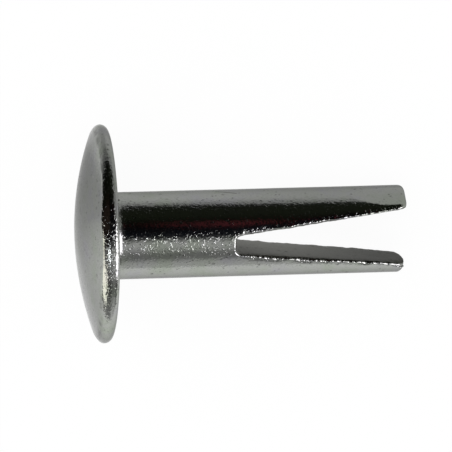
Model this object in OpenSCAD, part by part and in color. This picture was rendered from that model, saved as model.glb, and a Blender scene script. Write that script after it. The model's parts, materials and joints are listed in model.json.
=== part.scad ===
// Split rivet: a low crowned head, a plain round shank, and a notch cut in from the end of the
// shank, which leaves two prongs to be spread and turned over behind the work.
// It is one piece of wire, headed and notched cold, then plated.
//
// The rivet's own axis runs from the bearing face under the head, at 0, to the tips of the prongs.
// The rivet lies as it comes to rest: on the rim of the head and on one edge of each prong, with
// the notch opening upwards and downwards. The floor is at z = 0.
// Lengths are in millimetres and angles in degrees.

/* [Head] */
// Diameter of the head
head_d = 9; // [7:0.1:14]
// Radius of the crown
crown_r = 12; // [9:0.5:20]
// Radius of the full round on the head's rim
rim_round = 0.31; // [0.15:0.01:0.45]
// How far the head is headed off the shank's axis, away from the thinner prong
head_shift = 0.1; // [0:0.01:0.3]

/* [Shank] */
// Diameter of the shank
shank_d = 3.6; // [3:0.1:5]
// Length of the shank, from the bearing face to the tips
shank_l = 12.25; // [9:0.25:20]
// Rounding of the shank's outer edge at the tips
tip_round = 0.35; // [0.1:0.05:0.5]
// How much wider the rivet is over the prongs' tips than over the plain shank
tip_spread = 0.02; // [0.01:0.01:0.2]

/* [Notch] */
// Depth of the notch, from the tips
notch_depth = 7.2; // [4:0.1:9]
// Width of the notch at the tips
tip_gap = 2.3; // [1.6:0.05:2.6]
// Width of the notch at its blunt root
root_gap = 0.72; // [0.5:0.02:1]
// Rounding of the root's two corners
root_round = 0.2; // [0.05:0.05:0.25]
// How far the notch stands off the axis at the tips, towards the thinner prong
tip_shift = 0.06; // [0:0.01:0.15]
// How far the notch stands off the axis at its root, towards the thinner prong
root_shift = 0.19; // [0:0.01:0.3]

/* [Hidden] */
$fn = 128;

head_r = head_d / 2;
shank_r = shank_d / 2;

// The crown is tangent to the rim's round, which is tangent to the flat bearing face.
rim_centre_r = head_r - rim_round;
crown_centre = sqrt(pow(crown_r - rim_round, 2) - pow(rim_centre_r, 2)) - rim_round;
// Height of the head, from the bearing face to the top of the crown
head_h = crown_r - crown_centre;

// The two faces of the notch, as their distance from the axis at a place along it:
// side 1 is the thicker prong, side -1 the thinner one.
root_x = shank_l - notch_depth;
function face_slope(side) = ((tip_gap - root_gap) / 2 + side * (root_shift - tip_shift)) / notch_depth;
function face_y(side, x) = tip_gap / 2 - side * tip_shift - face_slope(side) * (shank_l - x);

// The shank is plain as far as the root. From there the prongs' skin opens out a little as far as
// the rounding at the tips. skin_r is its radius at a place along the prongs.
rounding_x = shank_l - tip_round;
tip_r = shank_r + tip_spread / 2;
function skin_r(x) =
    let (short = max(0, rounding_x - x), past = max(0, x - rounding_x))
    tip_r - (tip_r - shank_r) * short / (rounding_x - root_x)
    - tip_round + sqrt(pow(tip_round, 2) - pow(past, 2));

// Distance from the axis, square to the faces' width, of the edge between a face and the skin.
function edge_z(side, x) = sqrt(pow(skin_r(x), 2) - pow(face_y(side, x), 2));

// The roll about the axis that brings the two prongs' edges level where they touch the floor.
rest_roll = atan2(
    edge_z(1, rounding_x) - edge_z(-1, rounding_x),
    face_y(1, rounding_x) + face_y(-1, rounding_x));

// The tilt of the axis, tips down, at which the rim of the head and the prongs' edges reach
// equally far down. Both depths are measured from the axis at the bearing face.
TIP_STEPS = 200;
tip_places = [for (i = [0 : TIP_STEPS]) shank_l - tip_round * (2 - 2 * i / TIP_STEPS)];
function edge_height(side, x, up) =
    up * edge_z(side, x) * cos(rest_roll) + side * face_y(side, x) * sin(rest_roll);
function head_depth(tilt) =
    (rim_centre_r - head_shift * sin(rest_roll)) * cos(tilt) - rim_round * sin(tilt) + rim_round;
function prong_depth(tilt) =
    max([for (side = [-1, 1], x = tip_places) x * sin(tilt) - edge_height(side, x, -1) * cos(tilt)]);
function level_tilt(low, high, halvings) =
    let (middle = (low + high) / 2)
    halvings == 0 ? middle
    : prong_depth(middle) < head_depth(middle) ? level_tilt(middle, high, halvings - 1)
    : level_tilt(low, middle, halvings - 1);
rest_tilt = level_tilt(0, 60, 30);

// The lying rivet is centred along X between the crown and the prongs' upper edges.
lying_left = crown_centre * cos(rest_tilt) - crown_r;
lying_right = max([for (side = [-1, 1], x = tip_places)
    x * cos(rest_tilt) + edge_height(side, x, 1) * sin(rest_tilt)]);

// Half section of the head: the crown as far as the rim's centre, and the round rim.
module head_section() {
    rim_angle = atan2(rim_centre_r, crown_centre + rim_round);
    intersection() {
        translate([0, crown_centre]) circle(r = crown_r);
        polygon([
            [0, 0],
            [rim_centre_r, 0],
            [rim_centre_r, -rim_round],
            [crown_r * tan(rim_angle), -head_h],
            [0, -head_h]
        ]);
    }
    translate([rim_centre_r, -rim_round]) circle(r = rim_round);
}

// Half section of the shank, from inside the head to the rounded edge at the tips.
module shank_section() {
    polygon([
        [0, -rim_round],
        [shank_r, -rim_round],
        [shank_r, root_x],
        [tip_r, rounding_x],
        [tip_r - tip_round, rounding_x],
        [tip_r - tip_round, shank_l],
        [0, shank_l]
    ]);
    translate([tip_r - tip_round, rounding_x]) circle(r = tip_round);
}

// Outline of the notch, open past the tips, with a blunt root between two rounded corners.
module notch_outline() {
    past_x = shank_l + 1;
    corner_x = root_x + root_round;
    function lean(side) = atan(face_slope(side));
    function corner_y(side) = side * (face_y(side, corner_x) - root_round / cos(lean(side)));
    function face_end(side) =
        [corner_x - root_round * sin(lean(side)), corner_y(side) + side * root_round * cos(lean(side))];
    polygon([
        [past_x, -face_y(-1, past_x)],
        [past_x, face_y(1, past_x)],
        face_end(1),
        [root_x, corner_y(1)],
        [root_x, corner_y(-1)],
        face_end(-1)
    ]);
    for (side = [-1, 1]) translate([corner_x, corner_y(side)]) circle(r = root_round);
}

module rivet() {
    color("gainsboro")
    translate([-(lying_left + lying_right) / 2, 0, head_depth(rest_tilt)])
    rotate([0, rest_tilt, 0])
    rotate([rest_roll, 0, 0])
    difference() {
        union() {
            translate([0, head_shift, 0]) rotate([0, 90, 0]) rotate_extrude() head_section();
            rotate([0, 90, 0]) rotate_extrude() shank_section();
        }
        linear_extrude(height = 2 * shank_d, center = true) notch_outline();
    }
}

rivet();
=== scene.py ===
"""Split rivet in bright nickel plate, lying on a pale floor."""
import json
import math
from itertools import accumulate
from types import SimpleNamespace

import bmesh
import bpy
from mathutils import Matrix, Vector


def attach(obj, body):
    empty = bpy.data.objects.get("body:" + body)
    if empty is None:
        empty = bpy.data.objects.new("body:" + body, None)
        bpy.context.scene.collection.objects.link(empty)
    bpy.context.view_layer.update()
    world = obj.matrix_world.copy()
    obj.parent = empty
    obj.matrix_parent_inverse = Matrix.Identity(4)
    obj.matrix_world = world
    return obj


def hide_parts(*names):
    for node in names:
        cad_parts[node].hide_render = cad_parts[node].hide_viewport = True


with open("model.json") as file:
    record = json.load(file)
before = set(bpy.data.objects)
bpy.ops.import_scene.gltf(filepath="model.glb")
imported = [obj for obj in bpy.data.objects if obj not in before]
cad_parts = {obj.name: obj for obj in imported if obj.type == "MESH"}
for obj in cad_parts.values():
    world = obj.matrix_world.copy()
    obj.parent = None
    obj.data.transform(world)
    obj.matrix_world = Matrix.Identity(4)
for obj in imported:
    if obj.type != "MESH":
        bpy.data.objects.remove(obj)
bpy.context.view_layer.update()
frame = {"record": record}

bl_info = {
    "name": "Split Rivet",
    "version": (1, 0, 0),
    "blender": (4, 5, 0),
    "location": "View3D > Sidebar > Rivet",
    "description": "Makes a nickel plated split rivet as it lies, with its floor, light and camera",
    "category": "Add Mesh",
}

MM = 0.001
QUARTER = math.pi / 2
# Heights of the plate's relief. The last two are lines drawn on the sheared faces and turned on the
# rim.
PEEL_HEIGHT = 0.0016 * MM
GRAIN_HEIGHT = 0.0022 * MM
SCAR_HEIGHT = 0.0042 * MM
PIT_DEPTH = 0.008 * MM
SHEAR_HEIGHT = 0.003 * MM
TURNED_HEIGHT = 0.0035 * MM
# Noises: the length of their waves in millimetres, their detail, their roughness and their seed.
NOISES = {
    "lip": (0.35, 2.0, 0.5, 3.0),
    "rolled": (0.5, 3.0, 0.5, 11.0),
    "chips": (0.15, 1.0, 0.5, 12.0),
    "waves": (1.4, 1.0, 0.5, 5.0),
    "peel": (0.28, 1.0, 0.5, 1.0),
    "grain": (0.09, 1.0, 0.5, 2.0),
    "scars": (0.11, 1.0, 0.5, 3.0),
    "drawn": (1, 1.0, 0.5, 5.0),
    "turned": (1, 1.0, 0.5, 6.0),
    "stain": (1.1, 3.0, 0.55, 4.0),
    "mottle": (0.16, 3.0, 0.6, 8.0),
    "crease": (0.7, 2.0, 0.5, 9.0),
    "rub": (0.6, 4.0, 0.6, 6.0),
}
# Spots in a random mesh: the size of its cells in millimetres, the share of the cells that hold a
# spot, and the reach of a spot as a share of a cell.
SPOTS = {"scars": (0.12, 0.6, 0.5), "dots": (0.17, 0.24, 0.42), "pits": (0.31, 0.3, 0.34)}
# Waves of the drawn and of the turned lines, in millimetres along the shank, across it and out.
DRAWN_STRETCH = (0.07, 0.07, 0.5)
TURNED_STRETCH = (0.06, 0.9, 0.9)
# The shank is scarred most along one line: its turn from the notch's upper side in degrees, how far
# from it the scars start to fade and stop fading, and how much of them is lost there.
SCAR_TURN = -4
SCAR_FADE = (9, 19)
SCAR_LOSS = 0.54
# Share of the scars that the rim and its crease have, the levels of noise between which a long scar
# rises, and how high the long and the short ones stand.
RIM_SCARS = 0.45
SCAR_RISE = (0.55, 0.63)
LONG_SCARS = 0.85
SHORT_SCARS = 3.0
# Levels of noise between which a stain deepens and the painted shade along the crease breaks up.
STAIN_RISE = (0.5, 0.68)
CREASE_RISE = (0.47, 0.6)
# How dark the mottling is, and how much darker on a sheared face, and how dark are a pit or a dot, the
# painted shade along the crease, and the scratch.
MOTTLE_DARK = 0.5
SHEARED_DARK = 0.6
PIT_DARK = 0.85
CREASE_SHADE = 0.45
SCRATCH_DARK = 0.6
# How much rougher the plate is where it is rubbed, and in a pit.
RUB_DULL = 0.06
PIT_DULL = 0.25
# How far the plate's reflection is held down where it is seen at a low angle.
EDGE_TINT = 0.5

# The rivet's own frame: X along the shank from the bearing face to the tips, Y square to the
# faces of the notch, towards the thicker prong, and Z out of the notch's upper side.
MOUNTS = {mount["name"]: mount for mount in frame["record"]["mounts"]}
SHANK = MOUNTS["shank"]
SEAT = Vector(SHANK["pos_m"])
ALONG = Vector(SHANK["axis"]).normalized()
ACROSS = Vector(MOUNTS["under_head"]["pos_m"]) - SEAT
ACROSS = (ACROSS - ALONG * ACROSS.dot(ALONG)).normalized()
OUT = ALONG.cross(ACROSS)
OWN = Matrix.Translation(SEAT) @ Matrix((ALONG, ACROSS, OUT)).transposed().to_4x4()
SHANK_RADIUS = SHANK["dims"]["r_mm"] * MM
PLAIN_LENGTH = SHANK["dims"]["length_mm"] * MM

# Lines of the prongs' grid, counted from the middle of the notch's root to one tip: over the root,
# round its corner, along the face, round the tip's edge and over the end.
CORNER_START, FACE_START, TIP_START, END_START, LINES = accumulate((24, 24, 230, 18, 7))
# Rows of the prongs' grid, counted from the middle of the notch's wall to the back of a prong: down
# the wall, over the lip, over the rubbed band and round the skin.
LIP_START, BAND_START, SKIN_START, ROWS = accumulate((7, 7, 8, 26))
# Rows of the head's grid, from the neck of the shank to the top of the crown: round the neck, along
# the underside, round the rim, over the land, round the shoulder and over the crown.
UNDERSIDE_START, RIM_START, LAND_ROW, SHOULDER_START, CROWN_START, HEAD_ROWS = accumulate(
    (6, 26, 12, 14, 10, 50))
# The head's grid meets the prongs' grid line for line round the neck.
HEAD_LINES = 4 * FACE_START
# Turns of the head's side: where the rim's round gives way to the land, and how far past square the
# land gives way to the shoulder, both round most of the rim and out of the notch.
LAND_START = math.radians(82)
SHOULDER_TURN = math.radians(45)
LAND_TURN = math.radians(24)
# Where the sharp shoulder reaches on towards the thicker prong: how far out of the notch and how far
# across a place on the rim lies, as shares of the head's radius.
SHARP_OUT = (0.4, 0.75)
SHARP_ACROSS = (0.1, 0.5)
# Share of its reach that the rim loses where the land is, so that the head gets no taller.
LAND_TRIM = 0.0034
# Lengths at the tips over which the lips widen and the thinner prong's end is domed.
TIP_LIP_LENGTH = 0.75 * MM
DOMED_LENGTH = 0.45 * MM
# Shares of a prong's face, from the root, over which the root's lip gives way to the prong's, the
# lip grows uneven and the burr sets in, and how uneven the lip gets.
LIP_BLEND = 0.2
UNEVEN_BLEND = 0.06
BURR_BLEND = 0.03
UNEVENNESS = 0.6
# Share of a prong's face whose lines lean back to the neck on the prong's back.
LEANING_SHARE = 0.6
# How near the lips' bend passes to the sharp corner that it replaces: 1 is a full bend, 0 a flat.
LIP_FULLNESS = 0.45
# Where the flat pressed on the thicker prong's tip starts, counted from the end, how soon it is at
# its full depth, and the turn round the shank that it faces.
FLAT_LENGTH = 2.3 * MM
FLAT_RUN = 1.3 * MM
FLAT_TURN = math.radians(62)


class Value:
    """A socket in a node tree. Sums written with it add the Math nodes that work them out."""

    def __init__(self, graph, socket):
        self.graph = graph
        self.socket = socket

    def math(self, operation, *terms):
        return self.graph.add("ShaderNodeMath", {"operation": operation}, dict(enumerate((self, *terms))))

    def other(self, output):
        return Value(self.graph, self.socket.node.outputs[output])

    def __add__(self, term):
        return self.math("ADD", term)

    __radd__ = __add__

    def __sub__(self, term):
        return self.math("SUBTRACT", term)

    def __rsub__(self, term):
        return self.graph.number(term) - self

    def __mul__(self, term):
        return self.math("MULTIPLY", term)

    __rmul__ = __mul__

    def __truediv__(self, term):
        return self.math("DIVIDE", term)

    def __rtruediv__(self, term):
        return self.graph.number(term) / self

    def __neg__(self):
        return self * -1

    def __lt__(self, term):
        return self.math("LESS_THAN", term)

    def sin(self):
        return self.math("SINE")

    def cos(self):
        return self.math("COSINE")

    def arcsin(self):
        return self.math("ARCSINE")

    def arctan(self, run):
        return self.math("ARCTAN2", run)

    def root(self):
        return self.math("MAXIMUM", 0).math("SQRT")

    def size(self):
        return self.math("ABSOLUTE")

    def sign(self):
        return self.math("SIGN")

    def at_least(self, low):
        return self.math("MAXIMUM", low)

    def at_most(self, high):
        return self.math("MINIMUM", high)

    def share(self, start, end):
        """How far this has come from start to end, from 0 to 1."""
        return ((self - start) / (end - start)).at_least(0).at_most(1)

    def eased(self, start, end):
        """The same share, with a soft start and a soft end."""
        part = self.share(start, end)
        return part * part * (3 - 2 * part)


class Graph:
    """A node tree as it is drawn up."""

    def __init__(self, tree):
        self.tree = tree

    def add(self, kind, settings=None, sockets=None, output=0):
        node = self.tree.nodes.new(kind)
        for name, setting in (settings or {}).items():
            if name == "stops":
                self.set_stops(node.color_ramp, setting)
            else:
                setattr(node, name, setting)
        for key, value in (sockets or {}).items():
            if isinstance(value, Value):
                self.tree.links.new(value.socket, node.inputs[key])
            else:
                node.inputs[key].default_value = value
        return Value(self, node.outputs[output]) if node.outputs else node

    @staticmethod
    def set_stops(ramp, stops):
        while len(ramp.elements) > len(stops):
            ramp.elements.remove(ramp.elements[-1])
        while len(ramp.elements) < len(stops):
            ramp.elements.new(1.0)
        for element, (place, shade) in zip(ramp.elements, stops):
            element.position = place
            element.color = (shade, shade, shade, 1) if isinstance(shade, float) else (*shade, 1)

    def number(self, value):
        return self.add("ShaderNodeMath", {"operation": "ADD"}, {0: value, 1: 0.0})

    def vector(self, x, y, z):
        return self.add("ShaderNodeCombineXYZ", None, {"X": x, "Y": y, "Z": z})

    def vector_math(self, operation, first, second):
        """A sum with two vectors. A dot product or a distance comes out as a number."""
        output = "Vector" if operation == "SUBTRACT" else "Value"
        return self.add("ShaderNodeVectorMath", {"operation": operation}, {0: first, 1: second}, output)

    def parts(self, vector):
        x = self.add("ShaderNodeSeparateXYZ", None, {"Vector": vector})
        return x, x.other("Y"), x.other("Z")

    def between(self, first, second, share):
        return first + (second - first) * share

    def mix_colours(self, first, second, share):
        sockets = {"Factor": share, 6: first, 7: second}
        return self.add("ShaderNodeMix", {"data_type": "RGBA"}, sockets, 2)

    def grid(self, lines, rows):
        """A flat sheet, a unit to each line and row, and where its points are: 0 is its middle."""
        sheet = self.add("GeometryNodeMeshGrid", None, {
            "Size X": 1.0 * lines, "Size Y": 1.0 * rows, "Vertices X": lines + 1, "Vertices Y": rows + 1})
        line, row, _ = self.parts(self.add("GeometryNodeInputPosition"))
        return sheet, line, row

    def placed(self, sheet, x, y, z):
        sockets = {"Geometry": sheet, "Position": self.vector(x, y, z)}
        return self.add("GeometryNodeSetPosition", None, sockets)

    def mark(self, geometry, name, value):
        """Store a number at every point of a mesh, for the finish to read."""
        settings = {"data_type": "FLOAT", "domain": "POINT"}
        sockets = {"Geometry": geometry, "Name": name, "Value": value}
        return self.add("GeometryNodeStoreNamedAttribute", settings, sockets)

    def noise(self, place, name):
        """One of the noises, from 0 to 1."""
        grain, detail, roughness, seed = NOISES[name]
        return self.add("ShaderNodeTexNoise", {"noise_dimensions": "4D"}, {
            "Vector": place, "W": seed, "Scale": 1 / (grain * MM), "Detail": detail, "Roughness": roughness})

    def swing(self, place, name):
        """The same noise, from about -1 to 1."""
        return (self.noise(place, name) - 0.5) * 2

    def spots(self, place, name):
        """Round spots, from 0 outside to 1 in the middle, in a share of the cells of a random mesh."""
        grain, kept, width = SPOTS[name]
        cells = self.add("ShaderNodeTexVoronoi", {"voronoi_dimensions": "3D", "feature": "F1"}, {
            "Vector": place, "Scale": 1 / (grain * MM)})
        chance, _, _ = self.parts(cells.other("Color"))
        return (chance < kept) * (1 - cells.share(0, width)) * (1 - cells.share(0, width))

    def stored(self, name):
        """A number that was stored at every point of the mesh."""
        return self.add("ShaderNodeAttribute", {"attribute_name": name}, None, "Fac")

    def seen(self):
        """1 for what is looked at, by reflection and through glass too, and 0 for what only lights."""
        straight = self.add("ShaderNodeLightPath", None, None, "Is Camera Ray")
        mirrored = straight.other("Is Glossy Ray") + straight.other("Is Transmission Ray")
        return (straight + mirrored).at_most(1)


def new_object(context, name, data):
    """An object with its data, in the scene."""
    thing = bpy.data.objects.new(name, data)
    context.collection.objects.link(thing)
    return thing


def new_material(name):
    """An empty material and its graph."""
    material = bpy.data.materials.new(name)
    material.use_nodes = True
    material.node_tree.nodes.clear()
    return material, Graph(material.node_tree)


def length(name, text, millimetres, low, high):
    return bpy.props.FloatProperty(
        name=name, description=text, default=millimetres * MM, min=low * MM, max=high * MM,
        unit="LENGTH", subtype="DISTANCE", precision=6)


def colour(name, text, shade):
    return bpy.props.FloatVectorProperty(
        name=name, description=text, default=shade, min=0, max=1, size=3, subtype="COLOR")


def factor(name, text, value):
    return bpy.props.FloatProperty(
        name=name, description=text, default=value, min=0, max=1, subtype="FACTOR")


def angle(name, text, degrees):
    return bpy.props.FloatProperty(
        name=name, description=text, default=math.radians(degrees), unit="ROTATION", subtype="ANGLE")


class RivetSizes(bpy.types.PropertyGroup):
    """Sizes of the rivet, as it is headed and notched."""

    head_diameter: length("Head diameter", "Width of the head", 8.994, 7, 14)
    head_height: length("Head height", "From the bearing face to the top of the crown", 1.39, 1, 2.5)
    rim_round: length("Rim round", "Radius of the round on the rim", 0.287, 0.15, 0.45)
    land_corner: length("Land corner", "Radius under the rim's land", 0.2, 0.15, 0.45)
    land_round: length("Land round", "Radius of the rim's flatter land", 0.83, 0.3, 1.5)
    shoulder_round: length("Shoulder round", "Radius between the rim and the crown", 0.7, 0.45, 1.2)
    sharp_shoulder: length("Sharp shoulder", "The same, beside the land", 0.15, 0.1, 1.2)
    soft_shoulder: length("Soft shoulder", "The same, over the thinner prong", 0.85, 0.45, 1.5)
    head_lean: length("Head lean", "How far the rim leans back over the thinner prong", 0.035, 0, 0.1)
    head_shift: length("Head shift", "How far the head stands off the shank's axis", 0.1, 0, 0.3)
    neck_round: length("Neck round", "Fillet between the shank and the head", 0.4, 0.05, 0.5)
    shank_diameter: length("Shank diameter", "Width of the plain shank", 2 * SHANK_RADIUS / MM, 3, 5)
    shank_length: length("Shank length", "From under the head to the tips", 12.25, 9, 20)
    tip_round: length("Tip round", "Rounding of the thicker prong's outer edge", 0.35, 0.1, 0.5)
    back_round: length("Back round", "The same, at the prong's back", 0.2, 0.1, 0.5)
    thin_tip_round: length("Thin tip round", "Rounding of the thinner prong's outer edge", 0.24, 0.1, 0.5)
    tip_spread: length("Tip spread", "How much wider the prongs stand at the tips", 0.02, 0.01, 0.2)
    short_prong: length("Short prong", "How far the thinner prong ends short", 0.12, 0, 0.3)
    end_bulge: length("End bulge", "How far the thinner prong's end is domed", 0.2, 0, 0.3)
    tip_gap: length("Tip gap", "Width of the notch at the tips", 2.3, 1.6, 2.6)
    root_gap: length("Root gap", "Width of the notch at its root", 0.72, 0.5, 1)
    root_round: length("Root round", "Radius of the two corners of the root", 0.2, 0.05, 0.25)
    tip_shift: length("Tip shift", "How far the notch stands off the axis at the tips", 0.06, 0, 0.15)
    root_shift: length("Root shift", "How far the notch stands off the axis at its root", 0.19, 0, 0.3)
    lip_round: length("Lip round", "Rounding of the thicker prong's sheared edges", 0.12, 0.02, 0.2)
    thin_lip: length("Thin lip", "Rounding of the thinner prong's sheared edges", 0.205, 0.02, 0.3)
    root_lip: length("Root lip", "Rounding of the notch's edges round its root", 0.1, 0.02, 0.15)
    tip_lip: length("Tip lip", "How much wider the sheared edges are rounded at the tips", 0.12, 0, 0.15)
    tip_flat: length("Tip flat", "Depth of the flat pressed on the thicker prong's tip", 0.085, 0, 0.15)
    end_round: length("End round", "Rounding between a notch face and the thicker end", 0.13, 0.02, 0.2)
    thin_end_round: length("Thin end round", "The same, on the thinner prong", 0.05, 0.01, 0.1)
    band_width: length("Band width", "Width of the rubbed band along the notch's edges", 0.3, 0.1, 0.4)
    lip_burr: length("Lip burr", "Height of the burr along the notch's edges", 0.042, 0, 0.06)
    lip_chips: length("Lip chips", "Depth of the fine chips in the burr", 0.014, 0, 0.03)
    lip_wear: length("Lip wear", "Depth to which the notch's edges are rubbed down", 0.012, 0, 0.03)
    ripple: length("Ripple", "Height of the low waves left by cold heading", 0.004, 0, 0.02)


class RivetFinish(bpy.types.PropertyGroup):
    """Finish of the nickel plate, with painted shade in some of its colours."""

    plate: colour("Plate", "Colour of the nickel plate", (0.36, 0.37, 0.35))
    green_stain: colour("Green stain", "Colour of the plate's faint green stains", (0.33, 0.355, 0.31))
    violet_stain: colour(
        "Violet stain", "Colour of the plate's faint violet stains", (0.352, 0.355, 0.362))
    # This dark colour also serves the dots, the marks, the scratch, the mottling and the painted shade along
    # the crease.
    pit: colour("Pit", "Colour at the bottom of a pit", (0.05, 0.05, 0.045))
    # Painted shade in part: the sheared faces' colour is the dull cut steel, darkened further to stand in
    # for the shaded floor that they reflect under the notch.
    sheared: colour("Sheared face", "Colour of the notch's sheared faces", (0.228, 0.23, 0.207))
    # Painted shade: the sheared faces darken towards the tips to stand in for the darker surroundings that
    # they reflect there.
    sheared_tip: colour("Sheared tip", "Colour of the same faces near the tips", (0.052, 0.053, 0.045))
    gloss: factor("Roughness", "Roughness of the plate where nothing has rubbed it", 0.13)
    sheared_dull: factor("Sheared roughness", "How much rougher the sheared faces are", 0.24)
    neck_dull: factor("Neck roughness", "How much rougher the neck under the head is", 0.2)


class StudioSettings(bpy.types.PropertyGroup):
    """Floor, camera and light."""

    floor_colour: colour("Floor", "Colour of the floor", (0.88, 0.88, 0.88))
    floor_lift: factor("Floor lift", "How far the floor is lifted towards white, shadows included", 0.94)
    camera_turn: angle("Camera turn", "How far the camera stands round towards the crown", 8.17)
    camera_rise: angle("Camera rise", "How far the camera stands over towards the thicker prong", 11.55)
    camera_reach: length("Camera reach", "Distance from the camera to the rivet", 151.9, 20, 1000)
    picture_width: length("Picture width", "Width of what the camera sees at the rivet", 18.65, 5, 200)


def add_inputs(tree, names):
    """Give a tree one input for each size, one for the finish, and its output."""
    for name in names:
        tree.interface.new_socket(name, in_out="INPUT", socket_type="NodeSocketFloat")
    tree.interface.new_socket("finish", in_out="INPUT", socket_type="NodeSocketMaterial")
    tree.interface.new_socket("Geometry", in_out="OUTPUT", socket_type="NodeSocketGeometry")
    return tree.nodes.new("NodeGroupInput")


def prongs_grid(graph, size):
    """The shank from the neck to the tips, as one sheet wrapped round the notch.

    Lines run from one tip along the notch's face, round its root and out to the other tip.
    Rows run across the notch's wall, over its lips and round the skin to the back of each prong.
    """
    sheet, line, row = graph.grid(2 * LINES, 2 * ROWS)
    side = line.sign()
    thick = (1 + side) / 2
    line = line.size()
    near = row.sign()
    row = row.size()
    root = line.share(0, CORNER_START)
    corner = line.share(CORNER_START, FACE_START)
    face = line.share(FACE_START, TIP_START)
    tip = line.share(TIP_START, END_START)
    end = line.share(END_START, LINES)

    # Slope of the notch's face on this side, and its distance from the axis at the tip.
    half_opening = (size.tip_gap - size.root_gap) / 2
    face_slope = (half_opening + side * (size.root_shift - size.tip_shift)) / size.notch_depth
    lean = face_slope.math("ARCTANGENT")
    root_x = size.shank_length - size.notch_depth
    corner_x = root_x + size.root_round
    tip_y = size.tip_gap / 2 - side * size.tip_shift
    face_y = tip_y - face_slope * (size.shank_length - corner_x)
    corner_y = side * (face_y - size.root_round / lean.cos())
    root_middle = -size.root_shift

    # The outline of the notch, and the direction from it into the metal.
    turn = (QUARTER - lean) * corner
    length_here = size.shank_length - size.short_prong * (1 - thick)
    tip_round = graph.between(size.thin_tip_round, size.tip_round, thick)
    face_from = corner_x - size.root_round * lean.sin()
    face_to = length_here - tip_round
    run = (face_to - face_from) * face
    past = tip * QUARTER
    run_past = tip_round * past.sin()
    x = root_x + size.root_round * (1 - turn.cos()) + run + run_past
    edge_y = (root_middle + (corner_y - root_middle) * root + side * size.root_round * turn.sin()
              + side * (run + run_past) * face_slope)
    end_round = graph.between(size.thin_end_round, size.end_round, thick)
    dip = end_round - (length_here - x).at_least(0).at_most(end_round)
    end_dip = end_round - (end_round * end_round - dip * dip).root()
    edge_y = edge_y + side * end_dip
    into_x = -turn.cos() * (1 - face)
    into_y = side * turn.sin()

    # Radius of the skin at a place along the shank.
    shank_radius = size.shank_diameter / 2
    tip_in = tip_round * (1 - past.cos())

    def skin_radius(place_x):
        opened = place_x.share(root_x, size.shank_length - size.tip_round)
        return shank_radius + size.tip_spread / 2 * opened - tip_in

    edge_radius = skin_radius(x)
    edge_turn = (edge_y / edge_radius).arcsin()
    edge_z = edge_radius * edge_turn.cos()

    # The lip of the notch is rolled over unevenly, and wider towards the tips.
    edge_place = graph.vector(x, edge_y, near * edge_z)
    uneven = graph.swing(edge_place, "lip")
    tip_share = x.share(length_here - TIP_LIP_LENGTH, length_here)
    prong_lip = graph.between(size.thin_lip, size.lip_round, thick)
    lip_here = graph.between(size.root_lip, prong_lip, face.share(0, LIP_BLEND))
    lip = (lip_here * (1 + UNEVENNESS * uneven * face.share(0, UNEVEN_BLEND))
           + size.tip_lip * tip_share)

    # Rows: wall of the notch, lip, rubbed band beside it, and the rest of the skin.
    wall = row.share(0, LIP_START)
    over = row.share(LIP_START, BAND_START)
    band = row.share(BAND_START, SKIN_START)
    skin = row.share(SKIN_START, ROWS)
    reach = graph.between(lip, size.band_width, band)
    band_x = x + into_x * reach
    band_turn = edge_turn + into_y * reach / edge_radius
    back_turn = side * QUARTER * line.share(0, FACE_START)
    # The back of each prong, line by line: the lines near the root lean back to the neck.
    leaning = face.share(0, LEANING_SHARE)
    lean_to = face_from + (face_to - face_from) * LEANING_SHARE
    back_x = (size.neck_round + (lean_to - size.neck_round) * leaning
              + (run - (face_to - face_from) * LEANING_SHARE).at_least(0) + run_past)
    skin_x = graph.between(band_x, back_x, skin)
    skin_turn = graph.between(band_turn, back_turn, skin)
    # The thicker prong's outer edge is rounded less at its back than beside the notch.
    row_round = tip_round - (tip_round - size.back_round) * skin * thick
    face_end = face * face * face * face
    skin_x = skin_x + (tip_round - row_round) * (1 - past.sin()) * face_end * face_end
    radius = skin_radius(skin_x) + (tip_round - row_round) * (1 - past.cos())
    # The flat pressed on the thicker prong's tip, which meets the skin long before a half cosine.
    flat_from = length_here - FLAT_LENGTH
    flat_here = skin_x.share(flat_from, flat_from + FLAT_RUN)
    flat_depth = size.tip_flat * flat_here * thick * (1 + near) / 2
    flat_radius = (radius - flat_depth) / (skin_turn - FLAT_TURN).cos().at_least(0.5)
    radius = radius.at_most(flat_radius)

    # A smooth bend from the wall past the sharp corner to the skin, nearly flat in the middle.
    to_corner = 2 * LIP_FULLNESS * over * (1 - over)
    weight = (1 - over) * (1 - over) + to_corner + over * over
    keep_corner = to_corner / weight
    keep_skin = over * over / weight
    keep_wall = (1 - over) * (1 - over) / weight
    wall_z = (edge_z - lip) * wall
    place_x = x * (keep_wall + keep_corner) + skin_x * keep_skin
    place_y = edge_y * (keep_wall + keep_corner) + radius * skin_turn.sin() * keep_skin
    place_z = wall_z * keep_wall + edge_z * keep_corner + radius * skin_turn.cos() * keep_skin

    # The flat ends close on the middle of each prong's D section.
    middle_y = side * (edge_y.size() + edge_radius) / 2
    place_y = graph.between(place_y, middle_y, end)
    place_z = near * place_z * (1 - end)
    # The thinner prong keeps the domed end of the wire that it was headed from.
    domed = (1 - (place_y * place_y + place_z * place_z) / (edge_radius * edge_radius)).at_least(0)
    by_end = place_x.share(length_here - DOMED_LENGTH, length_here)
    place_x = place_x + size.end_bulge * (1 - thick) * domed * by_end * by_end

    # How near a point lies to the notch's cut edge, for the burr, and whether it was sheared. The
    # grid is marked before it is placed, because its lines and rows are read from its own places.
    down_wall = (edge_z - lip) * (1 - wall)
    nearness = (1 - down_wall / size.band_width).at_least(0) * (1 - band) * face.share(0, BURR_BLEND)
    sheet = graph.mark(sheet, "cut_edge", nearness)
    sheet = graph.mark(sheet, "sheared", (1 - over.eased(0.2, 0.8)) * (1 - end))
    return graph.placed(sheet, place_x, place_y, place_z)


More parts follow.
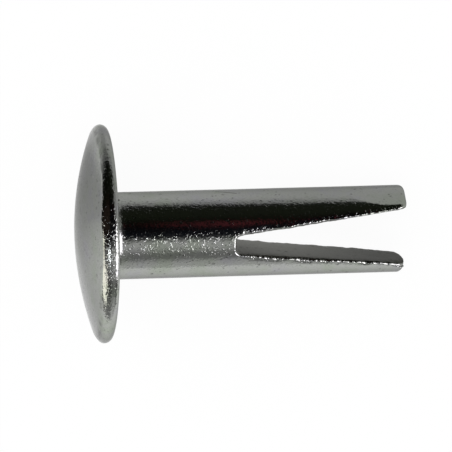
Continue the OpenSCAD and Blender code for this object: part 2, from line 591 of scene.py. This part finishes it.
def head_grid(graph, size):
    """The head, turned about its axis from the neck out to the rim and over the crown."""
    sheet, line, row = graph.grid(HEAD_LINES, HEAD_ROWS)
    row = row + HEAD_ROWS / 2
    turn = line * (2 * math.pi / HEAD_LINES)
    neck = row.share(0, UNDERSIDE_START) * QUARTER
    underside = row.share(UNDERSIDE_START, RIM_START)
    rim = row.share(RIM_START, LAND_ROW)
    land = row.share(LAND_ROW, SHOULDER_START)
    shoulder = row.share(SHOULDER_START, CROWN_START)
    crown = row.share(CROWN_START, HEAD_ROWS)

    neck_round = size.neck_round
    land_sin = math.sin(LAND_START)
    land_cos = math.cos(LAND_START)
    # Out of the notch the rim has a flatter land and a sharp shoulder. Over the thinner prong the
    # shoulder is soft. Elsewhere the land is part of the rim's round.
    facing = turn.cos().at_least(0) * turn.cos()
    outer = facing * facing
    lower = turn.sin().at_most(0) * turn.sin()
    rim_round = graph.between(size.rim_round, size.land_corner, outer)
    land_round = graph.between(size.rim_round, size.land_round, outer)
    land_end = QUARTER + graph.between(SHOULDER_TURN, LAND_TURN, outer)
    sharp = outer.at_least(turn.cos().share(*SHARP_OUT) * turn.sin().eased(*SHARP_ACROSS))
    soft = lower * (1 + turn.cos().at_most(0))
    shoulder_round = (size.shoulder_round + (size.sharp_shoulder - size.shoulder_round) * sharp
                      + (size.soft_shoulder - size.shoulder_round) * soft)
    rim_middle = (size.head_diameter / 2 * (1 - LAND_TRIM * outer)
                  - rim_round * land_sin - land_round * (1 - land_sin))

    # Turns are measured from straight down the shank on the rim, and from straight up on the crown.
    rim_turn = LAND_START * rim
    land_turn = LAND_START + (land_end - LAND_START) * land
    land_x = rim_round * (land_cos - 1) + land_round * (land_end.cos() - land_cos)
    land_out = rim_middle + rim_round * land_sin + land_round * (land_end.sin() - land_sin)
    # The crown is the one arc that meets the shoulder smoothly and gives the head its height.
    crown_out = land_out - shoulder_round * land_end.sin()
    crown_drop = size.head_height + land_x - shoulder_round * land_end.cos() - shoulder_round
    crown_turn = 2 * crown_drop.arctan(crown_out)
    crown_radius = shoulder_round + crown_out / crown_turn.sin()
    shoulder_turn = land_end + (math.pi - crown_turn - land_end) * shoulder
    here = crown_turn * (1 - crown)
    flat_from = size.shank_diameter / 2 + neck_round
    out = (flat_from - neck_round * neck.cos() + (rim_middle - flat_from) * underside
           + rim_round * rim_turn.sin() + land_round * (land_turn.sin() - land_sin)
           + shoulder_round * (shoulder_turn.sin() - land_end.sin())
           + crown_radius * (here.sin() - crown_turn.sin()))
    x = (neck_round * (1 - neck.sin()) + rim_round * (rim_turn.cos() - 1)
         + land_round * (land_turn.cos() - land_cos)
         + shoulder_round * (shoulder_turn.cos() - land_end.cos())
         + crown_radius * (crown_turn.cos() - here.cos()))
    reach = ((out - flat_from) / (size.head_diameter / 2 - flat_from)).at_least(0)
    x = x - size.head_lean * lower * reach * reach
    y = out * turn.sin() + size.head_shift * underside
    sheet = graph.mark(sheet, "crease", 1 - (2 * shoulder - 1).size())
    sheet = graph.mark(sheet, "rim", rim.share(0.5, 1) * (1 - shoulder))
    return graph.placed(sheet, x, y, out * turn.cos())


def rivet_tree(names):
    """The whole rivet: both grids joined line for line, then roughened as cold heading leaves it."""
    tree = bpy.data.node_groups.new("rivet_form", "GeometryNodeTree")
    inputs = add_inputs(tree, names)
    graph = Graph(tree)
    size = SimpleNamespace(**{name: Value(graph, inputs.outputs[name]) for name in names})
    join = tree.nodes.new("GeometryNodeJoinGeometry")
    for part in (head_grid(graph, size), prongs_grid(graph, size)):
        tree.links.new(part.socket, join.inputs[0])
    closed = graph.add("GeometryNodeMergeByDistance", None, {
        "Geometry": Value(graph, join.outputs[0]), "Distance": 0.00002 * MM})
    place = graph.add("GeometryNodeInputPosition")
    cut_edge = graph.add("GeometryNodeInputNamedAttribute", {"data_type": "FLOAT"}, {"Name": "cut_edge"})
    rolled = graph.swing(place, "rolled") * size.lip_burr
    chips = graph.swing(place, "chips") * size.lip_chips
    burr = (rolled + chips - size.lip_wear) * cut_edge
    waves = graph.swing(place, "waves") * size.ripple
    normal = graph.add("GeometryNodeInputNormal")
    push = graph.add("ShaderNodeVectorMath", {"operation": "SCALE"}, {
        "Vector": normal, "Scale": burr + waves - size.ripple})
    rough = graph.add("GeometryNodeSetPosition", None, {"Geometry": closed, "Offset": push})
    smooth = graph.add("GeometryNodeSetShadeSmooth", None, {"Geometry": rough, "Shade Smooth": True})
    whole = graph.add("GeometryNodeRealizeInstances", None, {"Geometry": smooth})
    finished = graph.add("GeometryNodeSetMaterial", None, {
        "Geometry": whole, "Material": Value(graph, inputs.outputs["finish"])})
    output = tree.nodes.new("NodeGroupOutput")
    tree.links.new(finished.socket, output.inputs["Geometry"])
    return tree


# Small marks in the plate: the place in the rivet's own frame, the radius and the depth, all in
# millimetres, and how dark the middle is.
MARKS = (
    ((-0.3, 1.6, 4.17), 0.1, 0.016, 0.0),
    ((0.32, 1.66, 0.77), 0.09, 0.02, 0.95),
    ((0.3, 0.74, 1.98), 0.06, -0.02, 0.0),
)
# A scratch on the thicker prong's back: both its ends and its half width, in the same way.
SCRATCH = ((4.4, 1.785, 0.22), (5.2, 1.742, 0.454), 0.04)


def own_parts(graph, vector):
    """How far a vector goes along the shank, towards the thicker prong and out of the notch."""
    return [graph.vector_math("DOT_PRODUCT", vector, tuple(axis)) for axis in (ALONG, ACROSS, OUT)]


def scratched(graph, place):
    """How near a place is to the middle of the scratch, from 0 outside to 1."""
    start, end, half_width = SCRATCH
    start = Vector(start) * MM
    run = Vector(end) * MM - start
    from_start = graph.vector_math("SUBTRACT", place, tuple(start))
    share = graph.vector_math("DOT_PRODUCT", from_start, tuple(run / run.length_squared)).share(0, 1)
    foot = graph.vector(*(share * part for part in run))
    return 1 - graph.vector_math("DISTANCE", from_start, foot).share(0, half_width * MM)


def small_marks(graph, place):
    """Depth of the small marks at a place, and how dark they are there."""
    depths, darkness = 0, 0
    for centre, radius, depth, dark in MARKS:
        gap = graph.vector_math("DISTANCE", place, [part * MM for part in centre])
        near = 1 - gap.share(0, radius * MM)
        depths = near * near * (3 - 2 * near) * (depth * MM) + depths
        darkness = near.share(0.2, 0.7) * dark + darkness
    return depths, darkness


def scar_height(graph, place, across, out):
    """Fine scars: long ones and short ones, most of them along the line that faces out of the notch."""
    from_line = (across.arctan(out) * (180 / math.pi) - SCAR_TURN).size()
    edges = graph.stored("cut_edge") + RIM_SCARS * (graph.stored("rim") + graph.stored("crease"))
    scarred = (1 - from_line.share(*SCAR_FADE) * SCAR_LOSS + edges).at_most(1)
    long_scars = graph.noise(place, "scars").eased(*SCAR_RISE) * LONG_SCARS
    return (long_scars + graph.spots(place, "scars") * SHORT_SCARS) * scarred * SCAR_HEIGHT


def line_height(graph, parts):
    """Lines drawn along the sheared faces, and lines turned round the rim."""
    drawn_place = graph.vector(*(part / stretch for part, stretch in zip(parts, DRAWN_STRETCH)))
    turned_place = graph.vector(*(part / stretch for part, stretch in zip(parts, TURNED_STRETCH)))
    drawn = graph.swing(drawn_place, "drawn") * SHEAR_HEIGHT * graph.stored("sheared")
    turned = graph.swing(turned_place, "turned") * TURNED_HEIGHT * graph.stored("rim")
    return drawn + turned


def nickel_plate(finish):
    """Bright nickel over cold-headed steel: peel, fine scars, pits, faint stains, dull sheared faces, and
    painted shade on the sheared faces and along the crease.
    """
    material, graph = new_material("nickel_plate")
    place = graph.add("ShaderNodeTexCoord", None, None, "Object")
    along, across, out = own_parts(graph, graph.vector_math("SUBTRACT", place, tuple(SEAT)))
    own = graph.vector(along, across, out)
    sheared = graph.stored("sheared")

    # Relief.
    peel = graph.swing(place, "peel") * PEEL_HEIGHT
    grain = graph.swing(place, "grain") * GRAIN_HEIGHT
    scars = scar_height(graph, place, across, out)
    lines = line_height(graph, (along, across, out))
    pits = graph.spots(place, "pits")
    mark_depth, mark_dark = small_marks(graph, own)
    height = peel + grain + scars + lines - pits * PIT_DEPTH - mark_depth
    bump = graph.add("ShaderNodeBump", None, {"Strength": 1.0, "Distance": 1.0, "Height": height})

    # Colour: faint stains, fine mottling, sheared faces darker as dull cut steel and by painted shade that
    # deepens towards the tips, dark pits and dots, and painted shade along the crease.
    stain = graph.noise(place, "stain")
    green = graph.mix_colours((*finish.plate, 1), (*finish.green_stain, 1), stain.eased(*STAIN_RISE))
    violet = graph.mix_colours(green, (*finish.violet_stain, 1), (1 - stain).eased(*STAIN_RISE))
    # Painted shade: the sheared faces' colour darkens towards the tips.
    sheared_and_tip_shade = graph.mix_colours((*finish.sheared, 1), (*finish.sheared_tip, 1), along.eased(6 * MM, 12 * MM))
    cut = graph.mix_colours(violet, sheared_and_tip_shade, sheared)
    dark = ((graph.noise(place, "mottle") - 0.5).size() * (MOTTLE_DARK + SHEARED_DARK * sheared)
            + (pits + graph.spots(place, "dots")) * PIT_DARK + mark_dark
            + scratched(graph, own).share(0, 0.6) * SCRATCH_DARK
            # Painted shade along the crease between the rim and the crown, broken up by noise.
            + graph.stored("crease") * graph.noise(place, "crease").eased(*CREASE_RISE) * CREASE_SHADE)
    plate = graph.mix_colours(cut, (*finish.pit, 1), dark.at_most(1))

    # The fillet of the neck is duller than the shank.
    neck = (1 - along.share(0.1 * MM, 0.5 * MM)) * along.share(-0.05 * MM, 0.05 * MM)
    rub = graph.noise(place, "rub") - 0.5
    roughness = (finish.gloss + RUB_DULL * rub + PIT_DULL * pits + finish.sheared_dull * sheared
                 + finish.neck_dull * neck)
    shader = graph.add("ShaderNodeBsdfPrincipled", None, {
        "Base Color": plate, "Metallic": 1.0, "Roughness": roughness, "Normal": bump,
        "Specular Tint": (EDGE_TINT, EDGE_TINT, EDGE_TINT, 1)})
    graph.add("ShaderNodeOutputMaterial", None, {"Surface": shader})
    return material


class RIVET_OT_rivet(bpy.types.Operator):
    """Make the rivet, headed, notched and plated as one piece"""

    bl_idname = "rivet.make_rivet"
    bl_label = "Make Rivet"

    def execute(self, context):
        sizes = context.scene.rivet_sizes
        values = {name: getattr(sizes, name) for name in RivetSizes.__annotations__}
        values["notch_depth"] = sizes.shank_length - PLAIN_LENGTH
        tree = rivet_tree(list(values))
        values["finish"] = nickel_plate(context.scene.rivet_finish)
        holder = new_object(context, "form", bpy.data.meshes.new("form"))
        modifier = holder.modifiers.new("form", "NODES")
        modifier.node_group = tree
        for item in tree.interface.items_tree:
            if item.in_out == "INPUT":
                modifier[item.identifier] = values[item.name]
        shown = holder.evaluated_get(context.evaluated_depsgraph_get())
        mesh = bpy.data.meshes.new_from_object(shown)
        bpy.data.objects.remove(holder)
        mesh.name = "split_rivet"
        mesh.transform(OWN)
        piece = new_object(context, "split_rivet", mesh)
        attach(piece, "root")
        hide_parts("rivet")
        return {"FINISHED"}


# Brightness of the floor in the shank's reflections: beside the thinner prong and the thicker one,
# how far each way from the shank it changes from one to the other, and how much is lost far out.
LIT_FLOOR = 1.06
SHADED_FLOOR = 0.68
SHADE_REACH = 8 * MM
FAR_FLOOR = (9 * MM, 25 * MM)
FAR_LOSS = 0.4
# It is a little brighter under the head, and darker where the thicker prong shades it.
HEAD_GAIN = 0.08
PRONG_LOSS = 0.2
# Past an edge there is no lit floor: 1 over its distance level with the rivet's middle, how much that
# falls for each metre towards the tips, and how far the reflections lean to the tips.
EDGE_NEARNESS = 6.5
EDGE_FALL = 2 / MM
EDGE_LEAN = 0.14
# Brightness of the floor in the crown's reflections, by the distance in millimetres towards the
# thicker prong, and the places along X between which it takes over from the shank's.
CROWN_FLOOR = (
    (-6, 1.26), (-2.8, 1.24), (-1.6, 1.07), (-0.3, 0.86), (0.9, 0.74), (2.1, 0.69), (3.3, 0.71),
    (4.1, 1.18), (5, 1.24), (7, 0.75), (10, 0.5), (17, 0.42), (24, 0.2), (30, 0.18))
BRIGHTEST_FLOOR = 1.4
CROWN_REACH = (-6.5 * MM, -4.5 * MM)


def reflected_floor(graph):
    """Painted light and shade of the floor in the rivet's reflections: painted shade on the side that the
    rivet shades.
    """
    along, across, _ = graph.parts(graph.add("ShaderNodeTexCoord", None, None, "Object"))
    low, high = CROWN_FLOOR[0][0], CROWN_FLOOR[-1][0]
    stops = [((here - low) / (high - low), shade / BRIGHTEST_FLOOR) for here, shade in CROWN_FLOOR]
    ramp = graph.add("ShaderNodeValToRGB", {"stops": stops}, {"Fac": across.share(low * MM, high * MM)})
    level, _, _ = graph.parts(ramp)
    beside = graph.between(LIT_FLOOR, SHADED_FLOOR, across.eased(-SHADE_REACH, SHADE_REACH))
    beside = beside * (1 - across.share(*FAR_FLOOR) * FAR_LOSS)
    prong_shade = along.share(-2 * MM, 3 * MM) * across.share(0, 3 * MM)
    beside = beside * (1 + HEAD_GAIN - prong_shade * PRONG_LOSS)
    to_edge = across.at_least(0) * (EDGE_NEARNESS - (along - across * EDGE_LEAN) * EDGE_FALL)
    beside = beside * (1 - to_edge.share(0.9, 1.1))
    return graph.between(beside, level * BRIGHTEST_FLOOR, 1 - along.share(*CROWN_REACH))


def floor_paper(colour_here, lift):
    """Matt white paper. What looks at it straight sees it lifted towards white; its reflections see it
    lifted towards the painted light and shade of reflected_floor.
    """
    material, graph = new_material("floor_paper")
    paper = graph.add("ShaderNodeBsdfDiffuse", None, {"Color": (*colour_here, 1)})
    straight = graph.add("ShaderNodeLightPath", None, None, "Is Camera Ray")
    strength = graph.between(reflected_floor(graph), 1.0, straight)
    white = graph.add("ShaderNodeEmission", None, {"Color": (1, 1, 1, 1), "Strength": strength})
    mixed = graph.add("ShaderNodeMixShader", None, {0: graph.seen() * lift, 1: paper, 2: white})
    graph.add("ShaderNodeOutputMaterial", None, {"Surface": mixed})
    return material


# Shades of the studio tent as the rivet reflects them, by the angle round the shank in degrees:
# 0 is straight out of the notch, and the angle grows towards the thicker prong.
TENT_BANDS = (
    (-95, 0.85), (-76, 0.72), (-65, 0.64), (-55, 0.31), (-46, 0.27), (-38, 0.33), (-29, 0.56),
    (-20, 0.69), (-12, 0.68), (-5, 0.4), (1, 0.08), (7, (0.004, 0.006, 0.011)),
    (24, (0.003, 0.003, 0.005)), (38, (0.002, 0.002, 0.002)), (60, (0.016, 0.019, 0.012)),
    (80, (0.018, 0.021, 0.014)), (95, 0.02))
TENT_RADIUS = 0.45
# How much of that brightness is left on the crown's side of the tent, and the shares of its radius
# towards the tips between which it is lost.
CROWN_SIDE = 0.42
SIDE_BLEND = (-0.1, 0.08)
# Brightness lost towards the tips on the thinner prong's side, and where: the shares of the radius
# towards the tips, and the degrees towards the thinner prong.
TIP_LOSS = 0.75
TIP_BLEND = (0.3, 0.5)
TIP_TURN = (20, 60)
# Brown of the dark stretch on the crown's side, the shares of the radius towards the crown between
# which it sets in, and the turns in degrees between which it sets in and fades.
TENT_BROWN = (0.075, 0.05, 0.038)
BROWN_BLEND = (0.1, 0.35)
BROWN_START = (8, 20)
BROWN_END = (35, 55)
# Brightness of the sky in the light that it gives. It is 1 where it is seen.
SKY = 0.9
# The soft lamp overhead: its width, its height and its power in watts.
OVERHEAD_WIDTH = 0.3
OVERHEAD_HEIGHT = 0.4
OVERHEAD_POWER = 0.5
# Half the width of the floor.
FLOOR_HALF = 0.6
# The camera turns about a point on the shank, this far from the bearing face. The picture's middle
# lies off it, towards the crown and towards the thicker prong.
CAMERA_POINT = 6.13 * MM
PICTURE_SHIFT = (-1.28 * MM, 0.2475 * MM)
# Width of the camera's sensor in millimetres.
SENSOR = 36
# Lamps and cards that only the reflections see: the angle towards the tips, the angle round the
# shank, the angles that it covers along and round the shank, its distance in metres, its brightness,
# its colour, and the angle over which it spreads. A narrow one faces straight down on the shank.
CARDS = (
    ("tip_softbox", 45, -13, 40, 66, 0.3, 4.8, (0.98, 0.94, 1), 180),
    ("head_strip", -58, -55, 64, 80, 0.3, 2.2, (1, 0.95, 0.88), 180),
    ("head_spark", -14, -12, 6, 16, 0.3, 8.0, (0.93, 0.95, 1), 180),
    ("tip_card", 57, 52, 66, 62, 0.3, 0.4, (1, 1, 1), 180),
    ("red_card", 14.3, 37, 9.5, 13, 0.03, 0.1, (1, 0.2, 0.24), 36),
    ("red_tip", 16.6, 32, 5, 14, 0.03, 0.09, (1, 0.2, 0.24), 36),
)


def card_axes(tipward, turn):
    """The way to a card from the rivet, and the card's two edges, square to it."""
    level = math.sin(turn) * ACROSS + math.cos(turn) * OUT
    way = math.sin(tipward) * ALONG + math.cos(tipward) * level
    edge = math.cos(tipward) * ALONG - math.sin(tipward) * level
    return way, edge, way.cross(edge)


def tent_cloth():
    """Cloth that glows in bands round the shank, less on the crown's side."""
    material, graph = new_material("tent")
    along, across, out = own_parts(graph, graph.add("ShaderNodeTexCoord", None, None, "Object"))
    turn = across.arctan(out) * (180 / math.pi)
    tipward = along / TENT_RADIUS
    low, high = TENT_BANDS[0][0], TENT_BANDS[-1][0]
    stops = [((degrees - low) / (high - low), shade) for degrees, shade in TENT_BANDS]
    bands = graph.add("ShaderNodeValToRGB", {"stops": stops}, {"Fac": turn.share(low, high)})
    left = graph.between(CROWN_SIDE, 1.0, tipward.eased(*SIDE_BLEND))
    left = left * (1 - tipward.eased(*TIP_BLEND) * (-turn).share(*TIP_TURN) * TIP_LOSS)
    brown = (-tipward).share(*BROWN_BLEND) * turn.share(*BROWN_START) * (1 - turn.share(*BROWN_END))
    shade = graph.mix_colours(bands, (*TENT_BROWN, 1), brown)
    glow = graph.add("ShaderNodeEmission", None, {"Color": shade, "Strength": left})
    graph.add("ShaderNodeOutputMaterial", None, {"Surface": glow})
    return material


def camera_way(studio):
    """Direction from the rivet to the camera."""
    turn, rise = studio.camera_turn, studio.camera_rise
    return (-math.sin(turn) * math.cos(rise) * ALONG + math.sin(rise) * ACROSS
            + math.cos(turn) * math.cos(rise) * OUT)


def make_floor(context, studio):
    mesh = bpy.data.meshes.new("floor")
    signs = ((-1, -1), (1, -1), (1, 1), (-1, 1))
    mesh.from_pydata([(x * FLOOR_HALF, y * FLOOR_HALF, 0) for x, y in signs], [], [(0, 1, 2, 3)])
    mesh.materials.append(floor_paper(studio.floor_colour, studio.floor_lift))
    floor = new_object(context, "floor", mesh)


def make_camera(context, studio):
    way = camera_way(studio)
    right = math.cos(studio.camera_turn) * ALONG + math.sin(studio.camera_turn) * OUT
    up = way.cross(right).normalized()
    target = SEAT + CAMERA_POINT * ALONG
    aim = target + PICTURE_SHIFT[0] * right + PICTURE_SHIFT[1] * up
    place = target + way * studio.camera_reach
    look = (place - aim).normalized()
    side = ACROSS.cross(look).normalized()
    data = bpy.data.cameras.new("camera")
    data.sensor_width = SENSOR
    data.lens = SENSOR * studio.camera_reach / studio.picture_width
    data.clip_start = 0.005
    camera = new_object(context, "camera", data)
    turned = Matrix((side, look.cross(side), look)).transposed().to_4x4()
    camera.matrix_world = Matrix.Translation(place) @ turned
    context.scene.camera = camera


def make_world(context):
    world = bpy.data.worlds.new("surroundings")
    world.use_nodes = True
    world.node_tree.nodes.clear()
    graph = Graph(world.node_tree)
    strength = graph.between(SKY, 1.0, graph.seen())
    sky = graph.add("ShaderNodeBackground", None, {"Color": (1, 1, 1, 1), "Strength": strength})
    graph.add("ShaderNodeOutputWorld", None, {"Surface": sky})
    context.scene.world = world


def make_tent(context):
    """A dome round the rivet that only its reflections see: dark on one side, pale on the other."""
    mesh = bpy.data.meshes.new("tent")
    form = bmesh.new()
    bmesh.ops.create_uvsphere(form, u_segments=48, v_segments=24, radius=TENT_RADIUS)
    form.to_mesh(mesh)
    form.free()
    mesh.materials.append(tent_cloth())
    tent = new_object(context, "tent", mesh)
    for use in ("camera", "diffuse", "transmission", "volume_scatter", "shadow"):
        setattr(tent, "visible_" + use, False)


def make_overhead(context):
    """One soft lamp overhead, for the floor's faint shadow."""
    data = bpy.data.lights.new("overhead", "AREA")
    data.size = OVERHEAD_WIDTH
    data.energy = OVERHEAD_POWER
    lamp = new_object(context, "overhead", data)
    lamp.location = (0, 0, OVERHEAD_HEIGHT)
    lamp.visible_glossy = False


def make_cards(context):
    for name, tipward, turn, span, turn_span, distance, brightness, tint, spread in CARDS:
        tipward = math.radians(tipward)
        data = bpy.data.lights.new(name, "AREA")
        data.shape = "RECTANGLE"
        data.size = distance * math.radians(span)
        data.size_y = distance * math.cos(tipward) * math.radians(turn_span)
        data.energy = brightness * math.pi * data.size * data.size_y
        data.color = tint
        way, edge, other_edge = card_axes(tipward, math.radians(turn))
        facing = way
        if spread < 180:
            # A lamp with a small spread glows brighter for the same power, so its power is cut.
            facing, edge, other_edge = card_axes(0.0, math.radians(turn))
            data.spread = math.radians(spread)
            half = data.spread / 2
            data.energy *= (math.tan(half) - half) / math.tan(half)
        turned = Matrix((edge, other_edge, facing)).transposed().to_4x4()
        card = new_object(context, name, data)
        card.matrix_world = Matrix.Translation(SEAT + way * distance) @ turned
        card.visible_camera = False
        card.visible_diffuse = False


class RIVET_OT_studio(bpy.types.Operator):
    """Make the floor, the light and the camera"""

    bl_idname = "rivet.make_studio"
    bl_label = "Make Studio"

    def execute(self, context):
        studio = context.scene.rivet_studio
        make_floor(context, studio)
        make_camera(context, studio)
        make_world(context)
        make_tent(context)
        make_overhead(context)
        make_cards(context)
        return {"FINISHED"}


class RIVET_PT_panel(bpy.types.Panel):
    """Lists what the rivet is made with"""

    bl_label = "Split Rivet"
    bl_space_type = "VIEW_3D"
    bl_region_type = "UI"
    bl_category = "Rivet"

    def draw(self, context):
        for name, group in GROUPS.items():
            box = self.layout.box()
            for setting in group.__annotations__:
                box.prop(getattr(context.scene, name), setting)
        self.layout.operator(RIVET_OT_rivet.bl_idname)
        self.layout.operator(RIVET_OT_studio.bl_idname)


GROUPS = {"rivet_sizes": RivetSizes, "rivet_finish": RivetFinish, "rivet_studio": StudioSettings}
CLASSES = (*GROUPS.values(), RIVET_OT_rivet, RIVET_OT_studio, RIVET_PT_panel)


def register():
    for one in CLASSES:
        bpy.utils.register_class(one)
    for name, group in GROUPS.items():
        setattr(bpy.types.Scene, name, bpy.props.PointerProperty(type=group))


def unregister():
    for name in GROUPS:
        delattr(bpy.types.Scene, name)
    for one in reversed(CLASSES):
        bpy.utils.unregister_class(one)


def main():
    register()
    bpy.ops.rivet.make_rivet()
    bpy.ops.rivet.make_studio()
    bpy.context.scene.view_settings.view_transform = "Standard"


if __name__ == "__main__":
    main()
